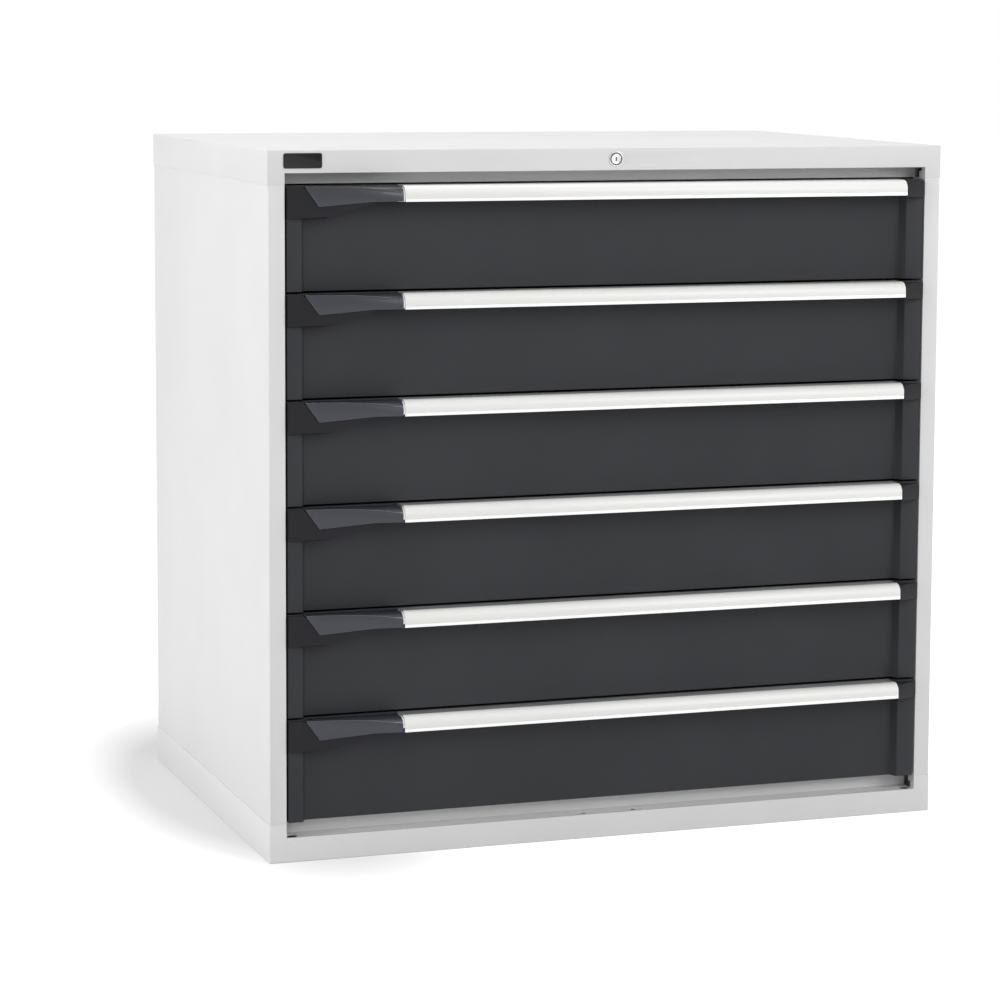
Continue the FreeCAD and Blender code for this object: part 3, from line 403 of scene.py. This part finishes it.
# %% The end holes of the base ledge
# They look 8 mm in radius in the photograph, and the CAD's are smaller, so they are widened.
HOLE_X = 476 * MM
HOLE_Y = -325.5 * MM
HOLE_RADIUS = 6.5 * MM
HOLE_GROWTH = 8 * MM / HOLE_RADIUS


def in_hole(point, hole_x):
    """Whether a point lies on the rim of one of the end holes."""
    return math.hypot(point.x - hole_x, point.y - HOLE_Y) < HOLE_RADIUS + NEAR


# %% The case, its posts and runners
CASE_PIECES = {
    "side_panel_left": ("left_side_sheet", SHEET_EDGE),
    "side_panel_right": ("right_side_sheet", SHEET_EDGE),
    "back_panel": ("rear_sheet", THIN_SHEET_EDGE),
    "top_cap": ("top_cap_sheet", SHEET_EDGE),
    "base_pan": ("base_pan_sheet", SHEET_EDGE),
    "slotted_posts": ("post_set", SHEET_EDGE),
    "cabinet_runners": ("runner_set", SHEET_EDGE),
}
for node, (name, edge) in CASE_PIECES.items():
    piece = copy_of_node(node, name)
    folds = 0
    if node == "base_pan":
        for hole_x in (-HOLE_X, HOLE_X):
            pick_edges(piece, lambda start, end: in_hole(start, hole_x) and in_hole(end, hole_x))
            bpy.ops.transform.resize(value=(HOLE_GROWTH, HOLE_GROWTH, 1),
                                     center_override=(hole_x, HOLE_Y, 0))
            done()
    if node in FOLDS:
        folds = pick_edges(piece, lambda start, end: any(
            at(start, line) and at(end, line) for line in FOLDS[node]))
        bpy.ops.mesh.bevel(offset=FOLD, segments=FOLD_STEPS, affect="EDGES")
        done()
    round_edges(piece, edge)
    settle(piece, "root", NODE_SLOT[node], node)
    print(name, folds, "folded edges,", len(piece.data.polygons), "faces")

# %% [markdown]
# ## Ends of the ledges
# Behind the front edge of the base and of the cap runs a ledge, and at both ends a small plate closes
# it. The plate starts as a block, is cut across by a bisect, and half of its edge face is extruded,
# which leaves the square notch that the photograph shows dark beside the stile.

# %% Ledge ends
END_X = (486.5 * MM, 488 * MM)
END_Y = (-337 * MM, -317.5 * MM)
NOTCH_Y = -324.5 * MM
# For each: the block's lower and upper level, and how far its front half reaches on past them.
LEDGE_ENDS = {
    "base": (44 * MM, 55.5 * MM, -10 * MM),
    "cap": (952 * MM, 962 * MM, 7 * MM),
}
ledge_ends = []
for name, (low, high, reach) in LEDGE_ENDS.items():
    plate_end = block(name + "_ledge_end", (END_X[0], END_Y[0], low), (END_X[1], END_Y[1], high),
                      case_paint)
    edit(plate_end, "FACE")
    bpy.ops.mesh.select_all(action="SELECT")
    bpy.ops.mesh.bisect(plane_co=(0, NOTCH_Y, 0), plane_no=(0, 1, 0))
    done()
    level = low if reach < 0 else high
    pick_faces(plate_end, lambda middle, normal: abs(middle.z - level) < NEAR
               and middle.y < NOTCH_Y)
    bpy.ops.mesh.extrude_region_move(TRANSFORM_OT_translate={"value": (0, 0, reach)})
    done()
    round_edges(plate_end, THIN_SHEET_EDGE, 2)
    ledge_ends += [plate_end, repeat(plate_end, name + "_ledge_end", mirror=True)]
ends = joined("ledge_ends", ledge_ends)
settle(ends, "root", "case_paint")
print("ledge ends", len(ends.data.polygons), "faces")

# %% [markdown]
# ## Screws in the back
# The back panel is held by screws beside the rear flanges. One screw is modelled: a low cylinder
# whose outer face is inset and then sunk to a socket, whose floor is painted near black as painted
# shade. It is copied to eight places.

# %% Rear screws
panel_low, panel_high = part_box("back_panel")
SCREW_RADIUS = 4.2 * MM
SCREW_HEIGHT = 1.2 * MM
SCREW_SINK = 0.1 * MM
SCREW_SOCKET_DEPTH = 0.6 * MM
SCREW_LEVELS = 4
SCREW_SPACING = 282 * MM
SCREW_FROM_FOOT = 45 * MM
SCREW_FROM_EDGE = 34 * MM
screw_x = panel_high.x - SCREW_FROM_EDGE
screw_levels = [panel_low.z + SCREW_FROM_FOOT + step * SCREW_SPACING
                for step in range(SCREW_LEVELS)]
screw_y = panel_high.y + SCREW_HEIGHT / 2 - SCREW_SINK
screw = disc("rear_screw", (screw_x, screw_y, screw_levels[0]), SCREW_RADIUS, SCREW_HEIGHT, "Y",
             zinc_steel, 20)
pick_faces(screw, lambda middle, normal: normal.y > FACING)
bpy.ops.mesh.inset(thickness=1.7 * MM, depth=0)
bpy.ops.mesh.inset(thickness=0.4 * MM, depth=-SCREW_SOCKET_DEPTH)
done()
# The socket's floor is painted near black: painted shade.
screw.data.materials.append(painted_shade_black)
pick_faces(screw, lambda middle, normal: normal.y > FACING
           and middle.y < panel_high.y + SCREW_HEIGHT - SCREW_SINK - SCREW_SOCKET_DEPTH + NEAR)
second_finish()
done()
round_edges(screw, 0.3 * MM, 2)
screws = [screw]
for level in screw_levels[1:]:
    screws.append(repeat(screw, "rear_screw", (0, 0, level - screw_levels[0])))
screws += [repeat(item, "rear_screw", mirror=True) for item in list(screws)]
rear_screws = joined("rear_screws", screws)
settle(rear_screws, "root", "zinc_steel")
print("rear screws", len(rear_screws.data.polygons), "faces")

# %% [markdown]
# ## The bare plate
# The plate at the top left has a raised rim round a sunken field, and the field stays bare. The
# plate's front face is inset and pushed back a little.

# %% Plate
plate = copy_of_node("badge_plate", "plate_blank")
plate_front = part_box("badge_plate")[0].y
pick_faces(plate, lambda middle, normal: normal.y < -FACING and abs(middle.y - plate_front) < NEAR)
bpy.ops.mesh.inset(thickness=1.5 * MM, depth=-0.4 * MM)
done()
round_edges(plate, 0.2 * MM)
settle(plate, "root", "plate", "badge_plate")
print("plate", len(plate.data.polygons), "faces")

# %% [markdown]
# ## The lock
# The escutcheon is a turned ring: a bright rim, a dished groove inside it, and the plug in the
# middle with its keyway. The ring's face is inset twice, the second time sunk, and the sunken part
# takes a dark metal, a painted dark reflection. The plug's face gets a small sunken step round the
# keyway, and the keyway's walls are painted near black, painted shade.

# %% Lock housing
ring = copy_of_node("lock_body", "lock_housing")
ring_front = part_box("lock_body")[0].y
ring.data.materials.append(lock_groove_painted_reflection)


def ring_face(middle, normal):
    return normal.y < -FACING and abs(middle.y - ring_front) < NEAR


pick_faces(ring, ring_face)
bpy.ops.mesh.inset(thickness=0.9 * MM, depth=0)
bpy.ops.mesh.inset(thickness=0.5 * MM, depth=-1.0 * MM)
# The sunken ring gets the painted dark reflection.
second_finish()
done()
round_edges(ring, 0.2 * MM)
settle(ring, "root", "lock_metal", "lock_body")

# %% Lock plug
# The walls of the keyway lie within these reaches of the plug's axis and its front.
KEYWAY_HALF_WIDTH = 0.8 * MM
KEYWAY_HALF_HEIGHT = 3.3 * MM
KEYWAY_DEPTH = 6.1 * MM
lock_axis_z = (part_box("lock_body")[0].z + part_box("lock_body")[1].z) / 2
plug = copy_of_node("lock_barrel", "lock_plug")
plug_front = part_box("lock_barrel")[0].y
# The keyway's walls are painted near black: painted shade.
plug.data.materials.append(painted_shade_black)
pick_faces(plug, lambda middle, normal: plug_front + NEAR < middle.y < plug_front + KEYWAY_DEPTH
           and abs(middle.x) < KEYWAY_HALF_WIDTH and abs(middle.z - lock_axis_z) < KEYWAY_HALF_HEIGHT)
second_finish()
done()
pick_faces(plug, lambda middle, normal: normal.y < -FACING and abs(middle.y - plug_front) < NEAR)
bpy.ops.mesh.inset(thickness=0.8 * MM, depth=-0.3 * MM)
done()
round_edges(plug, 0.12 * MM)
settle(plug, "lock_barrel", "lock_metal", "lock_barrel")

# %% Lock rod and bar
for node in ("lock_rod", "lock_bar"):
    piece = copy_of_node(node, node + "_piece")
    round_edges(piece, 0.25 * MM)
    settle(piece, node, NODE_SLOT[node], node)

# %% [markdown]
# ## One drawer, six times
# The pieces of drawer 1 are finished first, and then each is copied down to the other five. The
# dark plastic pieces get a paler finish on their rounded edges, a painted highlight.

# %% The drawer's pieces
# The last column is the finish of the rounded edges alone; on the dark plastic it is a painted
# highlight.
DRAWER_PIECES = {
    "box": ("tray", 0.4 * MM, "drawer_{}", None),
    "front": ("front_panel", 0.5 * MM, "drawer_{}", None),
    "handle_rail": ("rail", 0.35 * MM, "drawer_{}", None),
    "label_strip": ("label", 0.15 * MM, "drawer_{}", None),
    "end_cap": ("rail_end_cap", 0.9 * MM, "drawer_{}", grip_painted_highlight),
    "catch_housing": ("grip", 0.7 * MM, "drawer_{}", grip_painted_highlight),
    "catch_lever": ("lever", 1.0 * MM, "catch_{}", lever_painted_highlight),
}


def on_every_drawer(first, name, body, slot, part=None):
    """Copy a piece of drawer 1 to the other five and settle all six, in place of a part if named."""
    for number in range(1, DRAWERS + 1):
        shift = (0, 0, -drawer_pitch * (number - 1))
        twin = first if number == 1 else repeat(first, f"drawer_{number}_{name}_piece", shift)
        nodes = [f"drawer_{number}_{part}"] if part else []
        settle(twin, body.format(number), slot, *nodes)
    print(name, len(first.data.polygons), "faces")


for part, (name, edge, body, rim) in DRAWER_PIECES.items():
    first = copy_of_node(f"drawer_1_{part}", f"drawer_1_{name}_piece")
    round_edges(first, edge, rim=rim)
    on_every_drawer(first, name, body, NODE_SLOT[f"drawer_1_{part}"], part)

# %% [markdown]
# ## Divider strips
# Drawers of this kind take dividers in slotted strips along both side walls. A strip starts as a
# grid of tall faces, one for each slot. Each face is inset by itself, its middle is deleted, and
# what is left is a slotted sheet that gets its thickness from Solidify.

# %% Slotted strips
tray_low, tray_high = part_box("drawer_1_box")
SLOT_PITCH = 17 * MM
SLOTS = 34
STRIP_HEIGHT = 96 * MM
STRIP_GAUGE = 0.8 * MM
STRIP_PLAY = 0.1 * MM
STRIP_WEB = 7.4 * MM
STRIP_LEVEL = 62 * MM
TRAY_INNER_X = 459 * MM
strip_x = -TRAY_INNER_X + STRIP_GAUGE + STRIP_PLAY
strip_y = (tray_low.y + tray_high.y) / 2
strip_z = tray_low.z + STRIP_LEVEL
select_nothing()
bpy.ops.mesh.primitive_grid_add(x_subdivisions=1, y_subdivisions=SLOTS, size=1,
                                location=(strip_x, strip_y, strip_z),
                                rotation=(0, math.radians(90), 0))
strip = bpy.context.active_object
strip.name = "drawer_1_left_strip_piece"
strip.scale = (STRIP_HEIGHT, SLOT_PITCH * SLOTS, 1)
place_here(strip)
strip.data.materials.append(zinc_steel)
pick_faces(strip, lambda middle, normal: True)
bpy.ops.mesh.inset(thickness=STRIP_WEB, depth=0, use_individual=True)
bpy.ops.mesh.delete(type="FACE")
done()
sheet_gauge = strip.modifiers.new("sheet gauge", "SOLIDIFY")
sheet_gauge.thickness = STRIP_GAUGE
apply_modifiers(strip)
round_edges(strip, 0.15 * MM, 1)
right_strip = repeat(strip, "drawer_1_right_strip_piece", mirror=True)
on_every_drawer(strip, "left_strip", "drawer_{}", "zinc_steel")
on_every_drawer(right_strip, "right_strip", "drawer_{}", "zinc_steel")

# %% [markdown]
# ## Carriages
# Between each channel of the case and each channel of a drawer runs a carriage: a flat bar with two
# rollers on its outer side and two on its inner side. A roller is a disc whose faces are inset into
# a tyre, a dish and a hub. The bar's corners are bevelled until its ends are round.

# %% Rollers and bars
carriage_low, carriage_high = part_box("drawer_1_carriages")
ROLLER_PLAY = 0.05 * MM
roller_radius = (carriage_high.z - carriage_low.z) / 2 - ROLLER_PLAY
roller_z = (carriage_low.z + carriage_high.z) / 2
BAR_INNER, BAR_OUTER = 470.5 * MM, 473.5 * MM
BAR_HALF_HEIGHT = 15 * MM
BAR_END_RADIUS = 14 * MM
ROLLER_INNER = 462.7 * MM
RIVET_RADIUS = 4.5 * MM
INNER_RIVET_HEIGHT = 0.5 * MM
OUTER_RIVET_HEIGHT = 1 * MM
ROLLER_SPACING = 260 * MM
ROLLER_INSET = 20 * MM


def roller(name, near, far, level_y):
    """A roller across X from one place to another."""
    piece = disc(name, ((near + far) / 2, level_y, roller_z), roller_radius, far - near, "X",
                 zinc_steel)
    pick_faces(piece, lambda middle, normal: abs(normal.x) > FACING)
    bpy.ops.mesh.inset(thickness=4 * MM, depth=0)
    bpy.ops.mesh.inset(thickness=1.2 * MM, depth=-1.6 * MM)
    bpy.ops.mesh.inset(thickness=7 * MM, depth=0)
    bpy.ops.mesh.inset(thickness=0.5 * MM, depth=1.4 * MM)
    done()
    round_edges(piece, 0.5 * MM, 2)
    return piece


bar = block("carriage_bar", (BAR_INNER, carriage_low.y, roller_z - BAR_HALF_HEIGHT),
            (BAR_OUTER, carriage_high.y, roller_z + BAR_HALF_HEIGHT), zinc_steel)
pick_edges(bar, lambda start, end: abs(start.x - end.x) > MM)
bpy.ops.mesh.bevel(offset=BAR_END_RADIUS, segments=8, affect="EDGES")
done()
round_edges(bar, 0.4 * MM, 2)
side = [bar]
for number, (near, far, level_y) in enumerate((
        (BAR_OUTER, carriage_high.x, carriage_high.y - ROLLER_INSET),
        (BAR_OUTER, carriage_high.x, carriage_high.y - ROLLER_INSET - ROLLER_SPACING),
        (ROLLER_INNER, BAR_INNER, carriage_low.y + ROLLER_INSET),
        (ROLLER_INNER, BAR_INNER, carriage_low.y + ROLLER_INSET + ROLLER_SPACING))):
    side.append(roller(f"roller_{number}", near, far, level_y))
    if near > BAR_INNER:
        rivet_depth = INNER_RIVET_HEIGHT
        rivet_x = BAR_INNER - rivet_depth / 2
    else:
        rivet_depth = OUTER_RIVET_HEIGHT
        rivet_x = BAR_OUTER + rivet_depth / 2
    head = disc(f"rivet_{number}", (rivet_x, level_y, roller_z), RIVET_RADIUS, rivet_depth, "X",
                zinc_steel, 20)
    round_edges(head, 0.2 * MM, 2)
    side.append(head)
half = joined("drawer_1_carriage_right", side)
other = repeat(half, "drawer_1_carriage_left", mirror=True)
pair = joined("drawer_1_carriage_pair_piece", [half, other])
on_every_drawer(pair, "carriage_pair", "carriage_{}", "zinc_steel", "carriages")

# %% [markdown]
# ## The studio
# The photograph is a product picture on white: the floor and the background are paper white, the
# light is soft and comes from the front right, the left and above, and a faint shadow lies on the
# floor beside the left side. The white is a glow that only the camera and the mirror and glass rays see,
# so it puts no more light on the cabinet. The glow fades in a long spot under and beside the
# left side, and this paints a shadow there: the grey is mostly painted shadow, only partly cast by the
# lamps.


# %% A glow for some rays
def seen_by_camera_and_gloss(nodes, links):
    """One for camera, glossy and transmission rays, and nought for the rest."""
    path = nodes.new("ShaderNodeLightPath")
    first = nodes.new("ShaderNodeMath")
    first.operation = "MAXIMUM"
    links.new(path.outputs["Is Camera Ray"], first.inputs[0])
    links.new(path.outputs["Is Glossy Ray"], first.inputs[1])
    second = nodes.new("ShaderNodeMath")
    second.operation = "MAXIMUM"
    links.new(first.outputs["Value"], second.inputs[0])
    links.new(path.outputs["Is Transmission Ray"], second.inputs[1])
    return second.outputs["Value"]


# %% Floor
FLOOR_SIZE = 40
FLOOR_MIDDLE_Y = 8
FLOOR_GLOW = 0.66
# The glow drops in a long spot beside the left side: a painted shadow, only partly cast by the lamps.
PAINTED_SHADOW_GLOW = 0.1
PAINTED_SHADOW_SPOT = (-0.42, 0.12, 0)
PAINTED_SHADOW_REACH = (0.3, 0.72, 0.3)
PAINTED_SHADOW_CORE_SHARE = 0.45
select_nothing()
bpy.ops.mesh.primitive_plane_add(size=FLOOR_SIZE, location=(0, FLOOR_MIDDLE_Y, 0))
floor = bpy.context.active_object
floor.name = "studio_floor"
place_here(floor)
material, nodes, links, shader, place = shader_tree("studio_white")
grain = noise(nodes, links, place, 3.0)
links.new(two_tones(nodes, links, grain, (0.71, 0.71, 0.71), (0.73, 0.73, 0.73)),
          shader.inputs["Base Color"])
shader.inputs["Roughness"].default_value = 0.9
shader.inputs["Specular IOR Level"].default_value = 0.1
glow = nodes.new("ShaderNodeEmission")
glow.inputs["Color"].default_value = (1, 1, 1, 1)
spot = nodes.new("ShaderNodeMapping")
spot.vector_type = "TEXTURE"
spot.inputs["Location"].default_value = PAINTED_SHADOW_SPOT
spot.inputs["Scale"].default_value = PAINTED_SHADOW_REACH
links.new(place, spot.inputs["Vector"])
fade = nodes.new("ShaderNodeTexGradient")
fade.gradient_type = "SPHERICAL"
links.new(spot.outputs["Vector"], fade.inputs["Vector"])
links.new(between(nodes, links, fade.outputs["Fac"], FLOOR_GLOW, PAINTED_SHADOW_GLOW, 0,
                  PAINTED_SHADOW_CORE_SHARE), glow.inputs["Strength"])
dark = nodes.new("ShaderNodeEmission")
dark.inputs["Strength"].default_value = 0.0
pick = nodes.new("ShaderNodeMixShader")
links.new(seen_by_camera_and_gloss(nodes, links), pick.inputs["Fac"])
links.new(dark.outputs["Emission"], pick.inputs[1])
links.new(glow.outputs["Emission"], pick.inputs[2])
both = nodes.new("ShaderNodeAddShader")
links.new(shader.outputs["BSDF"], both.inputs[0])
links.new(pick.outputs["Shader"], both.inputs[1])
links.new(both.outputs["Shader"], nodes["Material Output"].inputs["Surface"])
floor.data.materials.append(material)

# %% World
WORLD_LIGHT = 0.5
WORLD_WHITE = 1.0
world = bpy.data.worlds.new("studio_world")
bpy.context.scene.world = world
world.use_nodes = True
nodes, links = world.node_tree.nodes, world.node_tree.links
backdrop = nodes["Background"]
backdrop.inputs["Color"].default_value = (1, 1, 1, 1)
backdrop.inputs["Strength"].default_value = WORLD_LIGHT
white = nodes.new("ShaderNodeBackground")
white.inputs["Color"].default_value = (1, 1, 1, 1)
white.inputs["Strength"].default_value = WORLD_WHITE
pick = nodes.new("ShaderNodeMixShader")
links.new(seen_by_camera_and_gloss(nodes, links), pick.inputs["Fac"])
links.new(backdrop.outputs["Background"], pick.inputs[1])
links.new(white.outputs["Background"], pick.inputs[2])
links.new(pick.outputs["Shader"], nodes["World Output"].inputs["Surface"])


# %% Lamps
def lamp(name, spot, target, size, power):
    """A square soft light at one place, aimed at another."""
    data = bpy.data.lights.new(name, "AREA")
    data.size = size
    data.energy = power
    light = bpy.data.objects.new(name, data)
    bpy.context.scene.collection.objects.link(light)
    light.location = spot
    light.rotation_euler = (Vector(target) - Vector(spot)).to_track_quat("-Z", "Y").to_euler()
    return light


CABINET_MIDDLE = (0, 0, 0.5)
CABINET_TOP = (0, 0, 1)
# For each: its place, its target, its size in metres and its power in watts.
LAMPS = {
    "key_light": ((2.2, -3.6, 2.6), CABINET_MIDDLE, 2.4, 74),
    "left_fill": ((-3.6, -0.5, 2.0), CABINET_MIDDLE, 2.6, 70),
    "top_light": ((0, 0.2, 3.6), CABINET_TOP, 2.0, 25),
}
for name, setting in LAMPS.items():
    lamp(name, *setting)
print(len(LAMPS), "lamps")

# %% [markdown]
# ## The camera
# The camera stands in front of the cabinet and to its left, a little higher than its top. It was
# fitted to the photograph's corners, with a slight tilt and a slight shift, so that the upright
# edges stay nearly parallel.

# %% Camera
CAMERA_PLACE = (-1.656, -4.6955, 1.167)
CAMERA_SHIFT = (-0.04, -0.10)
FAR_CLIP = 200
FOCAL_PIXELS = 3273
PICTURE_PIXELS = 1000
SENSOR = 36
yaw, pitch, roll = math.radians(19.5), math.radians(6.47), math.radians(0.32)
forward = Vector((math.sin(yaw) * math.cos(pitch), math.cos(yaw) * math.cos(pitch),
                  -math.sin(pitch)))
right = Vector((math.cos(yaw), -math.sin(yaw), 0))
up = right.cross(forward)
rolled_right = right * math.cos(roll) + up * math.sin(roll)
rolled_up = up * math.cos(roll) - right * math.sin(roll)
camera_data = bpy.data.cameras.new("photo_camera")
camera_data.sensor_width = SENSOR
camera_data.lens = FOCAL_PIXELS / PICTURE_PIXELS * SENSOR
camera_data.shift_x, camera_data.shift_y = CAMERA_SHIFT
camera_data.clip_end = FAR_CLIP
camera = bpy.data.objects.new("photo_camera", camera_data)
bpy.context.scene.collection.objects.link(camera)
turn = Matrix((rolled_right, rolled_up, -forward)).transposed().to_4x4()
camera.matrix_world = Matrix.Translation(CAMERA_PLACE) @ turn
bpy.context.scene.camera = camera
bpy.context.scene.view_settings.view_transform = "Standard"
